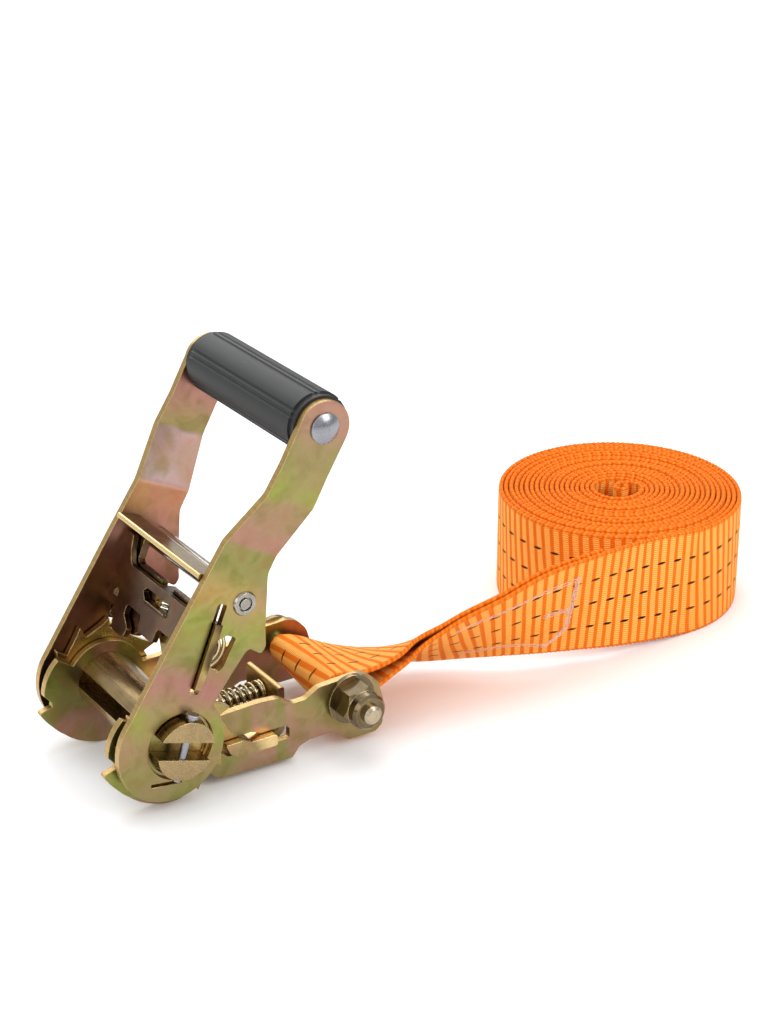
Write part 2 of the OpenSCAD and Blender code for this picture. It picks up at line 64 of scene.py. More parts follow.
# ------------------------------------------------------------------ shader node helpers
class NodeGraph:
    """Builds shader nodes. A value is a number, a tuple, or a link as (node, output)."""

    def __init__(self, tree):
        self.tree = tree
        self.shared_nodes = {}
        tree.nodes.clear()

    def put(self, node, socket, value):
        if isinstance(value, tuple) and len(value) == 2:
            self.tree.links.new(value[0].outputs[value[1]], node.inputs[socket])
        else:
            node.inputs[socket].default_value = value

    def make(self, kind, inputs, output=0, **settings):
        node = self.tree.nodes.new(kind)
        for key, value in settings.items():
            setattr(node, key, value)
        for socket, value in inputs.items():
            self.put(node, socket, value)
        return (node, output)

    def shared(self, kind, output):
        """An output of a node that the graph holds only once."""
        if kind not in self.shared_nodes:
            self.shared_nodes[kind] = self.make(kind, {})[0]
        return (self.shared_nodes[kind], output)

    def place(self):
        return self.shared("ShaderNodeTexCoord", "Object")

    def true_normal(self):
        return self.shared("ShaderNodeNewGeometry", "True Normal")

    def split(self, vec):
        node = self.make("ShaderNodeSeparateXYZ", {0: vec})[0]
        return [(node, i) for i in range(3)]

    def math(self, operation, *values, clamp=False):
        return self.make("ShaderNodeMath", dict(enumerate(values)),
                         operation=operation, use_clamp=clamp)

    def add(self, a, b):
        return self.math("ADD", a, b)

    def sub(self, a, b):
        return self.math("SUBTRACT", a, b)

    def mul(self, a, b):
        return self.math("MULTIPLY", a, b)

    def dot(self, a, b):
        return self.make("ShaderNodeVectorMath", {0: a, 1: b}, "Value", operation="DOT_PRODUCT")

    def mix(self, factor, a, b, mode="MIX"):
        """Colour mix; a colour may leave out its alpha."""
        a, b = (v + (1,) if len(v) == 3 else v for v in (a, b))
        return self.make("ShaderNodeMix", {0: factor, 6: a, 7: b},
                         2, data_type="RGBA", blend_type=mode)

    def ramp(self, factor, stops, interpolation="LINEAR"):
        link = self.make("ShaderNodeValToRGB", {0: factor})
        ramp = link[0].color_ramp
        ramp.interpolation = interpolation
        while len(ramp.elements) > 1:
            ramp.elements.remove(ramp.elements[-1])
        ramp.elements[0].position = stops[0][0]
        ramp.elements[0].color = stops[0][1] + (1,)
        for position, colour in stops[1:]:
            ramp.elements.new(position).color = colour + (1,)
        return link

    def remap(self, value, span, to=(0, 1), smooth=True):
        return self.make("ShaderNodeMapRange",
                         {0: value, 1: span[0], 2: span[1], 3: to[0], 4: to[1]},
                         interpolation_type="SMOOTHSTEP" if smooth else "LINEAR")

    def noise(self, scale, detail=2.0, rough=0.5, vec=None, distort=0.0):
        return self.make("ShaderNodeTexNoise", {
            "Scale": scale, "Detail": detail, "Roughness": rough,
            "Distortion": distort, "Vector": vec or self.place()})

    def scaled(self, scale, offset=(0, 0, 0), vec=None):
        return self.make("ShaderNodeMapping", {
            "Vector": vec or self.place(), "Scale": scale, "Location": offset})

    def bump(self, height, distance, strength, normal=None):
        inputs = {"Strength": strength, "Distance": distance, "Height": height}
        if normal is not None:
            inputs["Normal"] = normal
        return self.make("ShaderNodeBump", inputs)

    def bevel(self, radius):
        return self.make("ShaderNodeBevel", {"Radius": radius}, samples=4)

    def wear(self, bevel, most):
        """Rises to most where the bevelled normal leaves the true one: on sharp edges."""
        bend = self.sub(1.0, self.dot(bevel, self.true_normal()))
        return self.remap(bend, span=(0.02, 0.25), to=(0, most))


class Mat(NodeGraph):
    """A material with one Principled shader."""

    def __init__(self, name):
        self.material = bpy.data.materials.new(name)
        self.material.use_nodes = True
        super().__init__(self.material.node_tree)
        shader = self.make("ShaderNodeBsdfPrincipled", {})
        self.make("ShaderNodeOutputMaterial", {"Surface": shader})
        self.shader = shader[0]

    def surface(self, inputs):
        """Sets the shader's inputs and returns the finished material."""
        for socket, value in inputs.items():
            self.put(self.shader, socket, value)
        return self.material


def srgb(*channels):
    """sRGB 0-1 to linear."""
    return tuple(c / 12.92 if c <= 0.04045 else ((c + 0.055) / 1.055) ** 2.4 for c in channels)


OLIVE = srgb(0.55, 0.53, 0.31)
GREEN = srgb(0.57, 0.58, 0.29)
GOLD = srgb(0.66, 0.57, 0.34)
PINK = srgb(0.66, 0.51, 0.43)
ROSE = srgb(0.64, 0.46, 0.41)
TAN = srgb(0.61, 0.52, 0.36)
BRIGHT = srgb(0.90, 0.79, 0.55)
BROWN = srgb(0.34, 0.24, 0.18)


# ------------------------------------------------------------------ metal and plastic
HANDLE_ANGLE = math.radians(64.7)       # above +X
HANDLE_DIR = (math.cos(HANDLE_ANGLE), 0.0, math.sin(HANDLE_ANGLE))
HANDLE_SPAN = (-0.02, 0.137)            # where the handle's tints start and end, along it
PAWL_ANGLE = math.radians(68)
PAWL_NORMAL = (-math.sin(PAWL_ANGLE), 0.0, math.cos(PAWL_ANGLE))


def zinc(name, stops, seed, rough, along_handle=False, patch=0.0, patch_colour=ROSE,
         cut_edges=True, bright_end=False):
    """Yellow chromated zinc on sheet: drifting tints, a satin grain, brighter cut edges."""
    m = Mat(name)
    broad = m.noise(scale=26.0, distort=0.6, vec=m.scaled((1, 0.8, 1), (seed, seed * 1.7, 0)))
    middling = m.noise(scale=85.0, detail=3.0, rough=0.55, distort=0.4,
                       vec=m.scaled((1, 1, 1), (seed * 2.1, 0, seed)))
    if along_handle:
        # tints follow the handle's length, wavering slightly
        height = m.remap(m.dot(m.place(), HANDLE_DIR), span=HANDLE_SPAN, smooth=False)
        waver = m.mul(m.sub(broad, 0.5), 0.05)
        factor = m.math("ADD", height, waver, clamp=True)
    else:
        factor = m.remap(broad, span=(0.33, 0.67), smooth=False)
    colour = m.ramp(factor, stops, "EASE")
    drift = m.ramp(middling, [(0.34, srgb(0.80, 0.83, 0.62)), (0.5, srgb(1, 1, 1)),
                              (0.68, srgb(0.98, 0.84, 0.82))])
    colour = m.mix(0.62, colour, drift, "MULTIPLY")
    # patches of a second tint
    tint = m.noise(scale=48.0, detail=1.0, rough=0.4, distort=0.2,
                   vec=m.scaled((1, 1, 1), (seed * 3.3, seed, 0)))
    patches = m.mul(m.remap(tint, span=(0.50, 0.66)), patch)
    colour = m.mix(patches, colour, patch_colour)
    # dark blotches
    fine = m.noise(scale=2600.0, rough=0.6)
    blotch = m.noise(scale=320.0, detail=4.0, rough=0.6)
    colour = m.mix(m.remap(blotch, span=(0.35, 0.75), to=(0, 0.16)), colour, (0.22, 0.17, 0.08))
    bevel = m.bevel(0.45 * MM)
    if cut_edges:
        # the sheets face +-Y, so any other normal is a cut edge
        facing = m.math("ABSOLUTE", m.dot(m.true_normal(), (0, 1, 0)))
        edge = m.remap(facing, span=(0.55, 0.25))
        shear = m.noise(scale=900.0, vec=m.scaled((1, 0.12, 1)))
        edge_colour = m.mix(shear, srgb(0.80, 0.68, 0.44), srgb(0.64, 0.51, 0.30))
        colour = m.mix(edge, colour, edge_colour)
    if bright_end:
        reach = m.dot(m.place(), PAWL_NORMAL)
        colour = m.mix(m.remap(reach, span=(0.0136, 0.0141)), colour, srgb(0.92, 0.80, 0.56))
    # bright worn edges, broken up by the blotches
    wear = m.mul(m.wear(bevel, most=1), m.remap(blotch, span=(0.3, 0.6), to=(0.35, 1.0)))
    colour = m.mix(m.mul(wear, 0.75), colour, BRIGHT)
    # blotches are rougher, worn edges smoother
    roughness = m.add(m.mul(blotch, 0.16), rough - 0.08)
    roughness = m.sub(roughness, m.mul(wear, 0.10))
    blotch_bump = m.bump(blotch, distance=0.00012, strength=0.22, normal=bevel)
    return m.surface({
        "Base Color": colour,
        "Metallic": 1.0,
        "Roughness": roughness,
        "Coat Weight": 0.12,
        "Coat Roughness": 0.25,
        "Normal": m.bump(fine, distance=0.00003, strength=0.35, normal=blotch_bump)})


def steel(name, colour, rough, streak=(1, 1, 1), streak_mix=0.25, edge=BRIGHT, dark=0.5,
          bevel_radius=0.4 * MM):
    """Smooth plated steel with fine streaks, faint dark patches and bright worn edges."""
    m = Mat(name)
    streaks = m.noise(scale=1400.0, detail=3.0, rough=0.6, vec=m.scaled(streak))
    patches = m.noise(scale=140.0, detail=4.0, rough=0.6)
    dark_colour = tuple(c * 0.45 for c in colour)
    light_colour = tuple(min(1, c * 1.5) for c in colour)
    tone = m.mix(m.remap(patches, span=(0.35, 0.75), to=(0, dark)), colour, dark_colour)
    tone = m.mix(m.mul(m.remap(streaks, span=(0.35, 0.7)), streak_mix), tone, light_colour)
    bevel = m.bevel(bevel_radius)
    return m.surface({
        "Base Color": m.mix(m.wear(bevel, most=0.8), tone, edge),
        "Metallic": 1.0,
        "Roughness": m.add(m.mul(streaks, 0.18), rough - 0.07),
        "Normal": m.bump(streaks, distance=0.00004, strength=0.35, normal=bevel)})


def plastic(name, colour, rough):
    """Moulded plastic with a fine grain, long pale drifts and grey scuffs."""
    m = Mat(name)
    grain = m.noise(scale=900.0, detail=3.0, rough=0.6)
    drift = m.noise(scale=60.0, detail=3.0, vec=m.scaled((1, 0.25, 1)))
    pale = tuple(min(1, c * 1.45 + 0.004) for c in colour)
    tone = m.mix(m.remap(drift, span=(0.3, 0.7), to=(0, 0.6)), colour, pale)
    scuff = m.noise(scale=240.0, detail=6.0, rough=0.7, vec=m.scaled((1, 0.2, 1)))
    tone = m.mix(m.remap(scuff, span=(0.62, 0.78), to=(0, 0.22)), tone, (0.20, 0.20, 0.21))
    return m.surface({
        "Base Color": tone,
        "Roughness": m.add(m.mul(drift, 0.18), rough - 0.08),
        "Normal": m.bump(grain, distance=0.00005, strength=0.3, normal=m.bevel(0.5 * MM))})


# ------------------------------------------------------------------ webbing and thread
PITCH = 4.65                # one weave cycle along the webbing, mm
LOOP_PITCH = PITCH / 2      # one selvedge loop
DASH = 2 * PITCH            # one tracer cycle
SLANT = 0.10                # the weave bands lean a little across the width
YARN_PITCH = 0.98           # one warp yarn cycle across the width
TRACER_ROWS = (-12.4, 0.0, 12.4)
TRACER_LEAN = 0.10
TRACER_HALF = (2.5, 0.62)   # half length and half width of a dash


def webbing_material(name):
    """Orange woven webbing. UV holds the length and the place across the width, in metres."""
    m = Mat(name)
    uv = m.make("ShaderNodeUVMap", {})
    u, v, _ = m.split(uv)
    length = m.mul(u, 1000.0)
    across = m.mul(v, 1000.0)
    # raised pale bands, leaning and wavering
    waver = m.noise(scale=55.0)
    slanted = m.add(length, m.mul(across, SLANT))
    slanted = m.add(slanted, m.mul(m.sub(waver, 0.5), 1.1))
    band = m.math("SINE", m.mul(slanted, 2 * math.pi / PITCH))
    raised = m.remap(band, span=(-0.62, 0.02))
    # warp yarns: some float in the pale bands, their neighbours in the dark ones
    phase = m.mul(across, 2 * math.pi / YARN_PITCH)
    yarn = m.math("SINE", phase)
    neighbour = m.math("SINE", m.add(phase, math.pi))
    rung = m.add(m.mul(yarn, raised), m.mul(neighbour, m.sub(1.0, raised)))
    rung = m.remap(rung, span=(-0.7, 0.8))
    # fine fibres along each yarn
    fibre = m.noise(scale=2.2, detail=3.0, rough=0.6, vec=m.scaled((900, 9000, 1), vec=uv))
    high = m.mix(rung, srgb(0.97, 0.55, 0.13), srgb(1.0, 0.79, 0.43))
    low = m.mix(rung, srgb(0.84, 0.35, 0.01), srgb(0.96, 0.53, 0.10))
    low = m.mix(0.55, low, srgb(0.92, 0.44, 0.04))
    colour = m.mix(raised, low, high)
    # selvedge: deeper, knotted
    selvedge = m.remap(m.math("ABSOLUTE", across), span=(23.2, 24.4))
    loops = m.math("SINE", m.mul(length, 2 * math.pi / LOOP_PITCH))
    knot = m.noise(scale=900.0, rough=0.6)
    edge = m.mix(m.remap(loops, span=(-0.4, 0.7)), srgb(0.82, 0.32, 0.0), srgb(0.95, 0.49, 0.06))
    edge = m.mix(m.remap(knot, span=(0.4, 0.65), to=(0, 0.4)), edge, srgb(0.88, 0.39, 0.02))
    colour = m.mix(m.mul(selvedge, 0.85), colour, edge)
    # tracer yarn: short slanted dashes; the whole cycles added keep the fraction positive
    cycle = m.math("FRACT", m.math("DIVIDE", m.add(slanted, 400.0 * DASH), DASH))
    from_middle = m.sub(m.mul(cycle, DASH), DASH / 2)
    dashes = None
    for row in TRACER_ROWS:
        off_row = m.sub(m.sub(across, row), m.mul(from_middle, TRACER_LEAN))
        along = m.math("DIVIDE", m.math("ABSOLUTE", from_middle), TRACER_HALF[0])
        aside = m.math("DIVIDE", m.math("ABSOLUTE", off_row), TRACER_HALF[1])
        oval = m.add(m.math("POWER", along, 1.6), m.math("POWER", aside, 2.0))
        dash = m.remap(oval, span=(1.05, 0.75))
        dashes = dash if dashes is None else m.math("MAXIMUM", dashes, dash)
    fade = m.noise(scale=120.0)
    dash_colour = m.mix(fade, srgb(0.06, 0.02, 0.01), srgb(0.13, 0.04, 0.02))
    colour = m.mix(dashes, colour, dash_colour)
    tone = m.noise(scale=22.0, detail=3.0, rough=0.6)
    colour = m.mix(m.remap(tone, span=(0.35, 0.7), to=(0.0, 0.16)), colour,
                   srgb(0.93, 0.44, 0.04))
    # relief: yarns, then fibres, then the tracer
    height = m.add(m.mul(rung, 1.0), m.mul(fibre, 0.5))
    height = m.add(height, m.mul(dashes, 0.4))
    return m.surface({
        "Base Color": colour,
        "Roughness": 0.7,
        "Specular IOR Level": 0.10,
        "Sheen Weight": 0.02,
        "Sheen Roughness": 0.45,
        "Sheen Tint": srgb(1.0, 0.75, 0.45) + (1,),
        "Normal": m.bump(height, distance=0.00022, strength=0.75)})


def thread_material(name):
    """Pale twisted thread. UV holds the length in metres and the turn round the thread."""
    m = Mat(name)
    u, v, _ = m.split(m.make("ShaderNodeUVMap", {}))
    # two plies round the thread, twisting along it
    ply = m.math("SINE", m.add(m.mul(u, 9000.0), m.mul(v, 12.566)))
    fuzz = m.noise(scale=700.0, detail=3.0, rough=0.6)
    colour = m.mix(m.remap(ply, span=(-0.6, 0.6)), srgb(0.86, 0.60, 0.47), srgb(0.99, 0.86, 0.78))
    colour = m.mix(m.remap(fuzz, span=(0.4, 0.7), to=(0, 0.35)), colour, srgb(0.96, 0.62, 0.36))
    return m.surface({
        "Base Color": colour,
        "Roughness": 0.45,
        "Sheen Weight": 0.2,
        "Normal": m.bump(ply, distance=0.00005, strength=0.6)})


# ------------------------------------------------------------------ mesh helpers
def unit(v):
    return v / np.linalg.norm(v, axis=-1, keepdims=True)


def square_to(v, axis):
    """Unit vector: v without its part along the unit axis."""
    return unit(v - axis * np.sum(v * axis, axis=-1, keepdims=True))


def arc_lengths(points):
    steps = np.linalg.norm(np.diff(points, axis=0), axis=1)
    return np.concatenate([[0], np.cumsum(steps)])


def link_object(name, data):
    ob = bpy.data.objects.new(name, data)
    bpy.context.scene.collection.objects.link(ob)
    return ob


def mesh_object(name, verts, faces, uvs):
    """A smooth-shaded mesh with one UV pair for each vertex."""
    me = bpy.data.meshes.new(name)
    me.from_pydata([tuple(v) for v in verts], [], faces)
    me.update()
    layer = me.uv_layers.new(name="UVMap")
    corners = np.zeros(len(me.loops), np.int32)
    me.loops.foreach_get("vertex_index", corners)
    layer.data.foreach_set("uv", np.asarray(uvs, np.float32)[corners].ravel())
    me.polygons.foreach_set("use_smooth", np.ones(len(me.polygons), bool))
    return link_object(name, me)


def grid_faces(rows, cols):
    """Quads of a tube: each row is a closed ring of cols vertices."""
    start = np.arange(rows - 1)[:, None] * cols
    a = start + np.arange(cols)
    b = start + (np.arange(cols) + 1) % cols
    return np.stack([a, b, b + cols, a + cols], -1).reshape(-1, 4).tolist()


def tube(points, radius, sides):
    """A round wire along points, its ends closed: (vertices, faces, UVs)."""
    tangents = unit(np.gradient(points, axis=0))
    helper = (0.0, 0.0, 1.0) if abs(tangents[0][2]) < 0.9 else (1.0, 0.0, 0.0)
    u = unit(np.cross(tangents[0], helper))
    radii = np.broadcast_to(radius, len(points))
    angle = (np.arange(sides) * 2 * np.pi / sides)[:, None]
    rings, uvs = [], []
    for point, tangent, r, s in zip(points, tangents, radii, arc_lengths(points)):
        u = square_to(u, tangent)
        v = np.cross(tangent, u)
        rings.append(point + r * (np.cos(angle) * u + np.sin(angle) * v))
        uvs += [(s, k / sides) for k in range(sides)]
    faces = grid_faces(len(points), sides)
    faces.append(list(range(sides))[::-1])
    faces.append([(len(points) - 1) * sides + k for k in range(sides)])
    return np.concatenate(rings), faces, uvs


def join_parts(parts):
    verts, faces, uvs, count = [], [], [], 0
    for part_verts, part_faces, part_uvs in parts:
        verts.append(part_verts)
        faces += [[i + count for i in face] for face in part_faces]
        uvs += part_uvs
        count += len(part_verts)
    return np.concatenate(verts), faces, uvs


# ------------------------------------------------------------------ the webbing's path, mm
bolt_low, bolt_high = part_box("strap_bolt")
roll_low, roll_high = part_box("webbing_roll")
BOLT_X = (bolt_low.x + bolt_high.x) / 2 / MM
BOLT_Z = (bolt_low.z + bolt_high.z) / 2 / MM
ROLL_X = (roll_low.x + roll_high.x) / 2 / MM
ROLL_Y = (roll_low.y + roll_high.y) / 2 / MM
ROLL_Z = (roll_low.z + roll_high.z) / 2 / MM
ROLL_R = (roll_high.x - roll_low.x) / 2 / MM
HALF_WIDTH = (roll_high.z - roll_low.z) / 2 / MM
THICK = 1.95                # one layer, without its raised bands
BAND = 0.17                 # height of the raised bands
WRAP_R = 4.25 + 1.15        # middle of the layer round the bolt
WRAP_Y = -1.0
OUTSET = 0.9                # from the CAD roll out to the middle of the outermost layer
OUTER_R = ROLL_R + OUTSET

# The two layers from bolt to roll: x; tilt (0 lies flat, 90 stands on edge), degrees;
# y and z midway between them; half the distance between their middles.
LEG_X, LEG_TILT, LEG_Y, LEG_Z, LEG_GAP = np.array([
    (80.0, 3.0, WRAP_Y, BOLT_Z, WRAP_R),
    (92, 8.8, -3.2, -7.4, 4.0),
    (104, 17.7, -4.3, -7.1, 2.5),
    (118, 29.3, -6.0, -6.5, 2.3),
    (136, 42.5, -12.1, -4.2, 1.25),
    (154, 54.0, -19.3, 0.2, 1.12),
    (175, 67.5, -23.3, 3.4, 1.12),
    (200, 78.0, -26.1, 3.7, 1.12),
    (228, 87.5, -26.9, 1.2, 0.5),
    (ROLL_X, 90, ROLL_Y - ROLL_R - OUTSET, ROLL_Z, 0.0),
]).T
UPPER_END_X = 206.0         # the upper layer's cut end
ROW_STEP = 0.58             # between mesh rows along the strap

ROLL_STEP = 2.3             # between the roll's turns
TURNS = 19.8
HOOK = 0.62                 # the last part of a turn, bent across the centre
HOOK_R = 5.0                # how far past the centre it ends
SPLIT = 2 * np.pi * 1.03    # the finely meshed strap ends here, the coarser roll starts
OVERLAP = 0.02              # radians shared by the two meshes


def ease(t):
    return t * t * (3 - 2 * t)


def leg_curve(values, x):
    """Smooth curve through the leg stations at x."""
    gap = np.diff(LEG_X)
    slope = np.diff(values) / gap
    m = np.zeros(len(LEG_X))
    m[1:-1] = (slope[:-1] * gap[1:] + slope[1:] * gap[:-1]) / (gap[:-1] + gap[1:])
    m[0], m[-1] = slope[0], slope[-1]
    i = np.clip(np.searchsorted(LEG_X, x) - 1, 0, len(LEG_X) - 2)
    t = (x - LEG_X[i]) / gap[i]
    return ((2 * t**3 - 3 * t**2 + 1) * values[i] + (t**3 - 2 * t**2 + t) * gap[i] * m[i]
            + (-2 * t**3 + 3 * t**2) * values[i + 1] + (t**3 - t**2) * gap[i] * m[i + 1])


def leg(x, side):
    """One layer between bolt and roll: its middle, width direction and outward normal.

    Side +1 is the upper layer, the back one once on edge; -1 is the lower or front one.
    """
    tilt = leg_curve(np.radians(LEG_TILT), x)
    zero = 0 * x
    middle = np.stack([x, leg_curve(LEG_Y, x), leg_curve(LEG_Z, x)], -1)
    reach = 0.5
    after = np.clip(x + reach, LEG_X[0], LEG_X[-1])
    before = np.clip(x - reach, LEG_X[0], LEG_X[-1])
    along = unit(np.stack([zero + 2 * reach,
                           leg_curve(LEG_Y, after) - leg_curve(LEG_Y, before),
                           leg_curve(LEG_Z, after) - leg_curve(LEG_Z, before)], -1))
    width = square_to(np.stack([zero, -np.cos(tilt), np.sin(tilt)], -1), along)
    normal = np.cross(width, along)
    normal *= np.sign(normal[:, 2] * np.cos(tilt) + normal[:, 1] * np.sin(tilt))[:, None]
    return middle + side * normal * leg_curve(LEG_GAP, x)[:, None], width, side * normal


def spiral(theta):
    """The roll's middle line, from its front inwards, anticlockwise seen from above."""
    turns = theta / (2 * np.pi)
    angle = -np.pi / 2 + theta
    r = OUTER_R - ROLL_STEP * turns
    # inner turns are slightly out of round
    uneven = np.clip(turns / 6, 0, 1)
    r = r + 0.45 * np.sin(2 * angle + 0.6) * uneven + 0.25 * np.sin(3 * angle + 1.9) * uneven
    hook = ease(np.clip((turns - TURNS + HOOK) / HOOK, 0, 1))
    r = r * (1 - hook) - HOOK_R * hook
    # turns sit a little above or below each other
    shift = 0.35 * np.sin(turns * 2.3 + 1.0) + 0.3 * np.sin(turns * 5.1)
    z = ROLL_Z + shift * np.clip(turns / 2, 0, 1)
    return np.stack([ROLL_X + r * np.cos(angle), ROLL_Y + r * np.sin(angle), z], -1)


def bolt_wrap():
    """Half a turn round the -X side of the bolt, from top to bottom."""
    angle = np.radians(np.arange(90, 270.1, 4.0))
    outward = np.stack([np.cos(angle), 0 * angle, np.sin(angle)], -1)
    middle = np.array([BOLT_X, WRAP_Y, BOLT_Z]) + WRAP_R * outward
    return middle, np.tile([0.0, -1.0, 0.0], (len(angle), 1)), outward


def outer_turn():
    theta = np.arange(0, SPLIT, ROW_STEP / OUTER_R)
    along = unit(np.gradient(spiral(np.append(theta, theta[-1] + 0.01)), axis=0)[:-1])
    up = np.tile([0.0, 0.0, 1.0], (len(theta), 1))
    return spiral(theta), up, np.cross(along, up)


def smooth_rows(rows, reach):
    """Two passes of a running mean over reach rows on either side."""
    for _ in range(2):
        pad = np.concatenate([np.repeat(rows[:1], reach, 0), rows,
                              np.repeat(rows[-1:], reach, 0)])
        kernel = np.ones(2 * reach + 1) / (2 * reach + 1)
        rows = np.stack([np.convolve(column, kernel, "valid") for column in pad.T], -1)
    return rows


def strap_path():
    """The continuous strap: cut end, upper layer, bolt, lower layer, the roll's outer turn."""
    pieces = [leg(np.arange(UPPER_END_X, LEG_X[0], -ROW_STEP), +1),
              bolt_wrap(),
              leg(np.arange(LEG_X[0] + 0.4, LEG_X[-1], ROW_STEP), -1),
              outer_turn()]
    middle, width, outward = (np.concatenate(column) for column in zip(*pieces))
    width = unit(smooth_rows(width, 6))
    return smooth_rows(middle, 4), width, square_to(smooth_rows(outward, 6), width)


def strap_mesh(name, path, lengths, across, band, edge_wave, loose=None):
    """A closed strap: raised bands on both faces, rounded and slightly looped selvedges."""
    middle, width, outward = (part[:, None] for part in path)
    rows, cols = len(lengths), 2 * len(across)
    q = np.tile(across, (rows, 1))
    s = np.tile(lengths[:, None], (1, len(across)))
    wave = np.clip(np.sin((s + SLANT * q) * 2 * np.pi / PITCH) * 1.6, -1, 1)
    edge = np.clip((np.abs(q) - (HALF_WIDTH - 1.3)) / 1.3, 0, 1)
    body = np.clip((HALF_WIDTH - 1.6 - np.abs(q)) / 1.2, 0, 1)
    hill = band * (0.5 + 0.5 * wave) * body
    dip = band * (0.5 - 0.5 * wave) * body
    loop = np.sin(s * 2 * np.pi / LOOP_PITCH)
    half = (THICK / 2) * np.sqrt(np.clip(1 - edge**2 * 0.86, 0, 1))
    half = half + edge_wave * 0.8 * edge * (0.5 + 0.5 * loop)
    spread = q + np.sign(q) * edge_wave * edge * loop
    outer = middle + spread[..., None] * width + (half + hill)[..., None] * outward
    inner = middle + spread[..., None] * width - (half + dip)[..., None] * outward
    if loose is not None:
        # the front edge of the loop stands off, outwards and towards -X
        slack = ((q + HALF_WIDTH) / (2 * HALF_WIDTH)) ** 1.2 * loose[:, None]
        for face in (outer, inner):
            face += (1.6 * slack)[..., None] * outward
            face[..., 0] -= 3.4 * slack
    verts = np.concatenate([outer, inner[:, ::-1]], 1).reshape(-1, 3) * MM
    faces = grid_faces(rows, cols)
    ends = range(len(across) - 1)
    last = (rows - 1) * cols
    faces += [[j + 1, cols - 2 - j, cols - 1 - j, j] for j in ends]
    faces += [[last + j, last + cols - 1 - j, last + cols - 2 - j, last + j + 1] for j in ends]
    uv_across = np.concatenate([q, q[:, ::-1]], 1).reshape(-1)
    uv_length = np.concatenate([s, s], 1).reshape(-1)
    return mesh_object(name, verts, faces, np.stack([uv_length, uv_across], -1) * MM)


webbing = webbing_material("webbing_orange")

path = strap_path()
lengths = arc_lengths(path[0])
across = np.concatenate([
    -HALF_WIDTH + np.array([0, 0.25, 0.6, 1.0]),
    np.linspace(-HALF_WIDTH + 1.6, HALF_WIDTH - 1.6, 47),
    HALF_WIDTH - np.array([1.0, 0.6, 0.25, 0])])
loose = ease(np.clip(1 - (path[0][:, 0] - BOLT_X) / 32, 0, 1))
strap = strap_mesh("webbing_strap", path, lengths, across, band=BAND, edge_wave=0.16, loose=loose)
strap.data.materials.append(webbing)
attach(strap, "strap")
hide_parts("webbing_loop", "webbing_tail")


def inner_turns():
    theta = [SPLIT - OVERLAP]
    while theta[-1] < 2 * np.pi * TURNS:
        r = OUTER_R - ROLL_STEP * theta[-1] / (2 * np.pi)
        theta.append(theta[-1] + 0.75 / max(r, 7))
    middle = spiral(np.array(theta))
    along = np.gradient(middle, axis=0)
    along[:, 2] = 0
    up = np.tile([0.0, 0.0, 1.0], (len(theta), 1))
    return middle, up, np.cross(unit(along), up)


roll_path = inner_turns()
roll_lengths = lengths[-1] - OVERLAP * OUTER_R + arc_lengths(roll_path[0])
roll_across = np.concatenate([
    -HALF_WIDTH + np.array([0, 0.3, 0.7, 1.3, 6]), [-12, 0, 12],
    HALF_WIDTH - np.array([6, 1.3, 0.7, 0.3, 0])])
roll = strap_mesh("webbing_roll_layers", roll_path, roll_lengths, roll_across,
                  band=0.0, edge_wave=0.15)
roll.data.materials.append(webbing)
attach(roll, "strap")
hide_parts("webbing_roll")


# ------------------------------------------------------------------ sewn seam, mm
def on_front(x, q, lift):
    """Points at x and q across the width, lifted off the front layer's outer face."""
    middle, width, outward = leg(x, -1)
    return middle + width * q[:, None] + outward * (THICK / 2 + BAND + lift)[:, None]


def stitch_line(x, q, step, radius, jitter, seed):
    """A row of stitches, each arching up between its two holes."""
    rng = np.random.default_rng(seed)
    along = arc_lengths(np.stack([x, q], -1))
    arch = np.sin(np.linspace(0, np.pi, 9)) ** 0.6
    parts = []
    start = 0.0
    while start < along[-1] - step * 0.4:
        end = min(start + step * rng.uniform(0.88, 1.06), along[-1])
        t = np.linspace(start, end, 9)
        shift_x = np.linspace(rng.uniform(-jitter, jitter), rng.uniform(-jitter, jitter), 9)
        shift_q = np.linspace(rng.uniform(-jitter, jitter), rng.uniform(-jitter, jitter), 9)
        points = on_front(np.interp(t, along, x) + shift_x * 0.4,
                          np.interp(t, along, q) + shift_q, arch * 0.31 - 0.20)
        parts.append(tube(points * MM, radius * MM * (0.75 + 0.25 * arch), sides=8))
        start = end + 0.15
    return parts


def stitch_rows(x, q, offsets, seed, step=3.2, radius=0.22, jitter=0.35, shift=(0, 1)):
    """Copies of a row, each moved by its offset times shift (x, q)."""
    parts = []
    for k, offset in enumerate(offsets):
        parts += stitch_line(x + offset * shift[0], q + offset * shift[1],
                             step, radius, jitter, seed + k)
    return parts


def seam_parts():
    # along the top, dipping past x = 150
    x = np.linspace(142, 192.5, 40)
    q = 16.4 - 1.6 * np.sin((x - 150) * np.pi / 43) * (x > 150)
    parts = stitch_rows(x, q, (0.0, -1.2), seed=10)
    # along the bottom, falling past x = 158
    x = np.linspace(142, 184, 40)
    q = -16 - 4.3 * np.clip((x - 158) / 26, 0, 1) ** 1.3
    parts += stitch_rows(x, q, (0.0, 1.1), seed=20)
    # a short row near mid-width
    x, q = np.array([179.5, 191.5]), np.array([-1.6, -0.6])
    parts += stitch_rows(x, q, (-0.8, 0.1, 1.0), seed=30, step=3.0)
    # a bar across the width, its lower end curving towards -X
    q = np.linspace(17, -20.6, 30)
    x = 193.2 - 1.2 * ((17 - q) / 38) - 9.5 * np.clip((-9 - q) / 11.6, 0, 1) ** 1.6
    parts += stitch_rows(x, q, (-1.2, -0.6, 0.1, 0.7), seed=40,
                         step=2.6, radius=0.23, jitter=0.4, shift=(1, 0))
    return parts


seam = mesh_object("seam_stitches", *join_parts(seam_parts()))
seam.data.materials.append(thread_material("seam_thread_pale"))
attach(seam, "strap")
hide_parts("seam_thread")


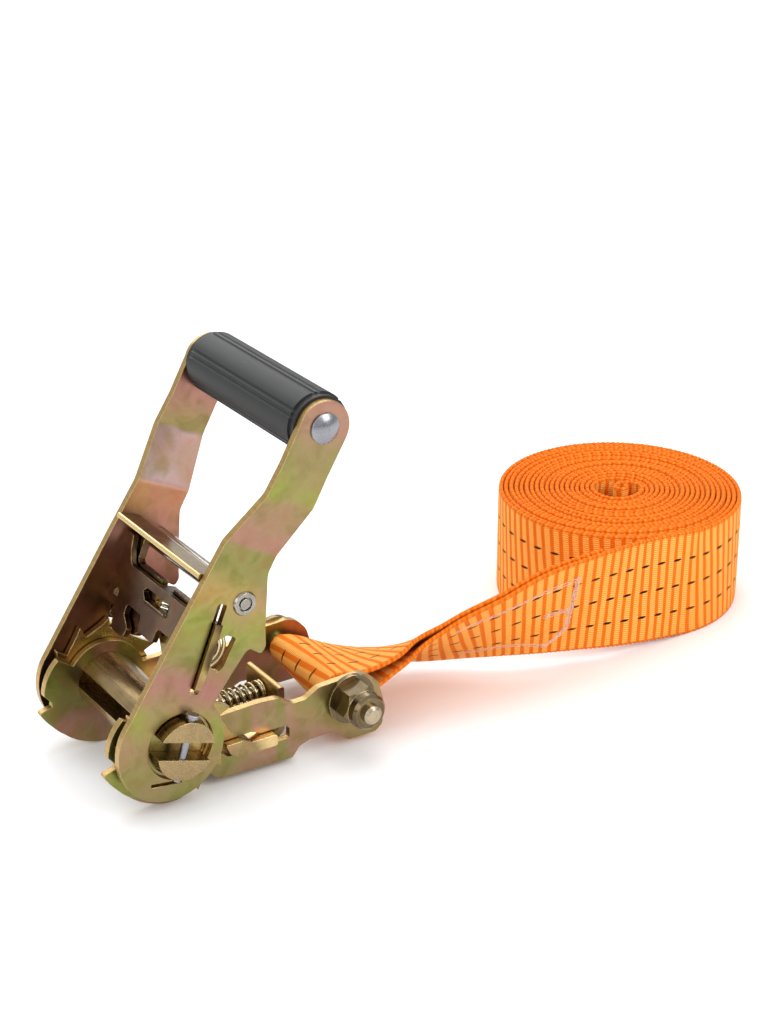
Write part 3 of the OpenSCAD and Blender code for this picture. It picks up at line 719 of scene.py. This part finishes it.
# ------------------------------------------------------------------ springs, metres
spring_wire = steel("spring_wire", srgb(0.80, 0.74, 0.58), rough=0.22, streak_mix=0.3,
                    bevel_radius=0.1 * MM)


def coil_spring(name, start, axes, mean_radius, length, turns, wire_radius, sides):
    """A compression spring from start along axes[0], its end turns closed up."""
    count = int(turns * 36)
    turn = np.arange(count + 1) / count * turns
    angle = turn * 2 * np.pi
    rise = np.where((turn < 1) | (turn > turns - 1), 0.25, 1.0)
    along = np.concatenate([[0], np.cumsum((rise[1:] + rise[:-1]) / 2)])
    along = wire_radius + (length - 2 * wire_radius) * along / along[-1]
    points = (start + along[:, None] * axes[0]
              + (mean_radius * np.cos(angle))[:, None] * axes[1]
              + (mean_radius * np.sin(angle))[:, None] * axes[2])
    spring = mesh_object(name, *tube(points, wire_radius, sides))
    spring.data.materials.append(spring_wire)
    return spring


low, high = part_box("lock_spring")
mid_y, mid_z = (low.y + high.y) / 2, (low.z + high.z) / 2
lock_length = high.x - low.x
lock_spring = coil_spring(
    "lock_pawl_spring_coil", np.array([low.x, mid_y, mid_z]), np.eye(3),
    mean_radius=4.1 * MM, length=lock_length, turns=8.5, wire_radius=0.65 * MM, sides=12)
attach(lock_spring, "frame")
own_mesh(lock_spring)
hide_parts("lock_spring")

slide = next(j for j in frame["joints"] if j["name"] == "drive_pawl_slide")
axis = unit(-np.array(slide["axis"], float))
side = np.array([0.0, 1.0, 0.0])
low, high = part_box("drive_spring")
middle = np.array([(low[i] + high[i]) / 2 for i in range(3)])
drive_length = 0.010
start = middle - axis * drive_length / 2
drive_spring = coil_spring(
    "drive_pawl_spring_coil", start, (axis, side, np.cross(axis, side)),
    mean_radius=2.6 * MM, length=drive_length, turns=6.5, wire_radius=0.45 * MM, sides=10)
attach(drive_spring, "handle")
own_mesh(drive_spring)
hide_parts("drive_spring")

# ------------------------------------------------------------------ materials on the CAD nodes
# Tint stops: place from 0 to 1, colour. On the handle plates the place is along the handle.
NEAR_STOPS = [
    (0.00, OLIVE), (0.10, TAN), (0.17, GREEN), (0.28, ROSE), (0.36, OLIVE), (0.44, GREEN),
    (0.52, GOLD), (0.60, OLIVE), (0.645, OLIVE), (0.665, PINK), (0.77, TAN), (0.80, GREEN),
    (0.92, OLIVE), (0.985, PINK), (1.0, PINK)]
FAR_STOPS = [
    (0.00, BROWN), (0.15, srgb(0.42, 0.30, 0.22)), (0.35, srgb(0.45, 0.29, 0.24)),
    (0.50, ROSE), (0.64, srgb(0.68, 0.48, 0.36)), (0.665, srgb(0.84, 0.72, 0.70)),
    (0.785, srgb(0.88, 0.74, 0.74)), (0.80, srgb(0.58, 0.52, 0.34)), (0.90, ROSE),
    (1.0, srgb(0.64, 0.43, 0.40))]
FRAME_STOPS = [(0.0, GREEN), (0.28, OLIVE), (0.5, PINK), (0.72, TAN), (1.0, OLIVE)]
WEB_STOPS = [(0, BROWN), (0.4, srgb(0.44, 0.34, 0.26)), (0.7, srgb(0.50, 0.40, 0.30)),
             (1, srgb(0.46, 0.36, 0.28))]
DRIVE_STOPS = [(0, TAN), (0.4, BROWN), (0.7, GOLD), (1, TAN)]
LOCK_STOPS = [(0, GOLD), (0.5, BRIGHT), (1, TAN)]
WHEEL_STOPS = [(0, OLIVE), (0.4, GOLD), (0.7, TAN), (1, OLIVE)]

looks = {
    "handle_plate_near": zinc("zinc_handle_near", NEAR_STOPS, seed=3.1, rough=0.37,
                              along_handle=True, patch=0.32, patch_colour=PINK),
    "handle_plate_far": zinc("zinc_handle_far", FAR_STOPS, seed=1.7, rough=0.34,
                             along_handle=True, patch=0.45,
                             patch_colour=srgb(0.72, 0.55, 0.32)),
    "frame_channel": zinc("zinc_frame", FRAME_STOPS, seed=5.2, rough=0.36,
                          patch=0.5, patch_colour=PINK),
    "handle_web": zinc("zinc_web", WEB_STOPS, seed=2.2, rough=0.30, cut_edges=False),
    "drive_pawl": zinc("zinc_drive_pawl", DRIVE_STOPS, seed=8.0, rough=0.24,
                       cut_edges=False, bright_end=True),
    "lock_pawl": zinc("zinc_lock_pawl", LOCK_STOPS, seed=4.0, rough=0.26, cut_edges=False),
    "ratchet_wheel_near": zinc("zinc_wheels", WHEEL_STOPS, seed=6.3, rough=0.28),
}
looks["ratchet_wheel_far"] = looks["ratchet_wheel_near"]
spool = steel("spool_bar_steel", srgb(0.62, 0.53, 0.38), rough=0.26, streak=(1, 0.04, 1),
              streak_mix=0.35, dark=0.45)
bolt = steel("bolt_steel", srgb(0.70, 0.64, 0.54), rough=0.22)
nut = steel("nut_steel", srgb(0.46, 0.40, 0.30), rough=0.18, dark=0.75)
rivet = steel("rivet_steel", srgb(0.58, 0.58, 0.60), rough=0.26, streak_mix=0.2,
              edge=srgb(0.97, 0.97, 0.97), dark=0.35)
cross_tube = steel("tube_steel", srgb(0.60, 0.58, 0.54), rough=0.20, streak=(1, 0.05, 1),
                   streak_mix=0.3, edge=srgb(0.86, 0.86, 0.84))
looks.update({
    "spool_bar_upper": spool, "spool_bar_lower": spool,
    "bolt_sleeve": bolt, "strap_bolt": bolt, "spring_guide_pin": bolt,
    "bolt_nut": nut, "bolt_washers": nut,
    "split_pins": rivet, "grip_rod": rivet,
    "handle_cross_tube": cross_tube,
    "pawl_wire_clips": spring_wire,
    "nut_ring": plastic("nylon_ring", srgb(0.80, 0.80, 0.74), rough=0.4),
    "grip_sleeve": plastic("grip_plastic", srgb(0.07, 0.073, 0.076), rough=0.50),
})
for part, material in looks.items():
    if part in nodes:
        nodes[part].data.materials.clear()
        nodes[part].data.materials.append(material)

# ------------------------------------------------------------------ stage
FLOOR_Z = -0.0277
FLOOR_HALF = 6


def floor_material():
    m = Mat("floor_pale")
    tone = m.noise(scale=3.0, detail=3.0)
    return m.surface({"Base Color": m.mix(tone, (0.90, 0.90, 0.90), (0.93, 0.93, 0.93)),
                      "Roughness": 0.7, "Specular IOR Level": 0.15})


floor_mesh = bpy.data.meshes.new("floor")
corners = [(-1, -1), (1, -1), (1, 1), (-1, 1)]
floor_mesh.from_pydata([(x * FLOOR_HALF, y * FLOOR_HALF, FLOOR_Z) for x, y in corners],
                       [], [(0, 1, 2, 3)])
floor = link_object("floor", floor_mesh)
floor_mesh.materials.append(floor_material())


def build_world():
    """A pale studio sky, with dark patches low down for the metal to reflect."""
    world = bpy.data.worlds.new("studio")
    bpy.context.scene.world = world
    world.use_nodes = True
    g = NodeGraph(world.node_tree)
    direction = g.shared("ShaderNodeTexCoord", "Generated")
    height = g.remap(g.split(direction)[2], span=(-1.0, 1.0), smooth=False)
    sky = g.ramp(height, [(0.0, (0.75, 0.75, 0.75)), (0.5, (0.55, 0.55, 0.56)),
                          (0.62, (0.80, 0.81, 0.82)), (1.0, (0.95, 0.96, 0.98))])
    patches = g.remap(g.noise(scale=2.2, detail=1.0, vec=direction),
                      span=(0.44, 0.60), smooth=False)
    lowness = g.remap(height, span=(0.85, 0.35), to=(0.0, 0.9), smooth=False)
    colour = g.mix(g.mul(patches, lowness), sky, (0.05, 0.045, 0.04))
    background = g.make("ShaderNodeBackground", {"Color": colour, "Strength": 1.08})
    g.make("ShaderNodeOutputWorld", {"Surface": background})


build_world()


def area(name, location, target, size, power):
    light = bpy.data.lights.new(name, "AREA")
    light.shape = "RECTANGLE"
    light.size, light.size_y = size
    light.energy = power
    ob = link_object(name, light)
    ob.location = location
    aim = Vector(np.array(target) - np.array(location))
    ob.rotation_euler = aim.to_track_quat("-Z", "Y").to_euler()


# name, location, target, size, power in watts
for light_values in (
        ("key_front_right", (0.75, -1.15, 0.95), (0.12, 0, 0.02), (0.8, 0.8), 9.0),
        ("fill_left", (-1.0, -0.5, 0.6), (0.1, 0, 0.03), (0.9, 0.7), 3.5),
        ("top", (0.1, 0.3, 1.3), (0.1, 0, 0), (1.2, 1.0), 7.0),
        ("rim_back", (0.3, 1.2, 0.7), (0.1, 0, 0.05), (1.2, 0.4), 5.0)):
    area(*light_values)

# ------------------------------------------------------------------ camera
CAMERA_PLACE = (-0.33629, -0.70625, 0.42982)
AZIMUTH = math.radians(-32.605)         # from the front, towards -X
ELEVATION = math.radians(24.027)

camera_data = bpy.data.cameras.new("camera")
camera = link_object("camera", camera_data)
camera_data.sensor_width = 36.0
camera_data.sensor_fit = "AUTO"
camera_data.lens = 78.9978515625
camera_data.clip_start = 0.01
back = np.array([math.sin(AZIMUTH) * math.cos(ELEVATION),
                 -math.cos(AZIMUTH) * math.cos(ELEVATION), math.sin(ELEVATION)])
right = np.array([math.cos(AZIMUTH), math.sin(AZIMUTH), 0.0])
turn = Matrix(np.stack([right, np.cross(back, right), back], -1).tolist())
camera.matrix_world = Matrix.Translation(CAMERA_PLACE) @ turn.to_4x4()
scene = bpy.context.scene
scene.camera = camera
scene.view_settings.view_transform = "Standard"
scene.view_settings.look = "None"
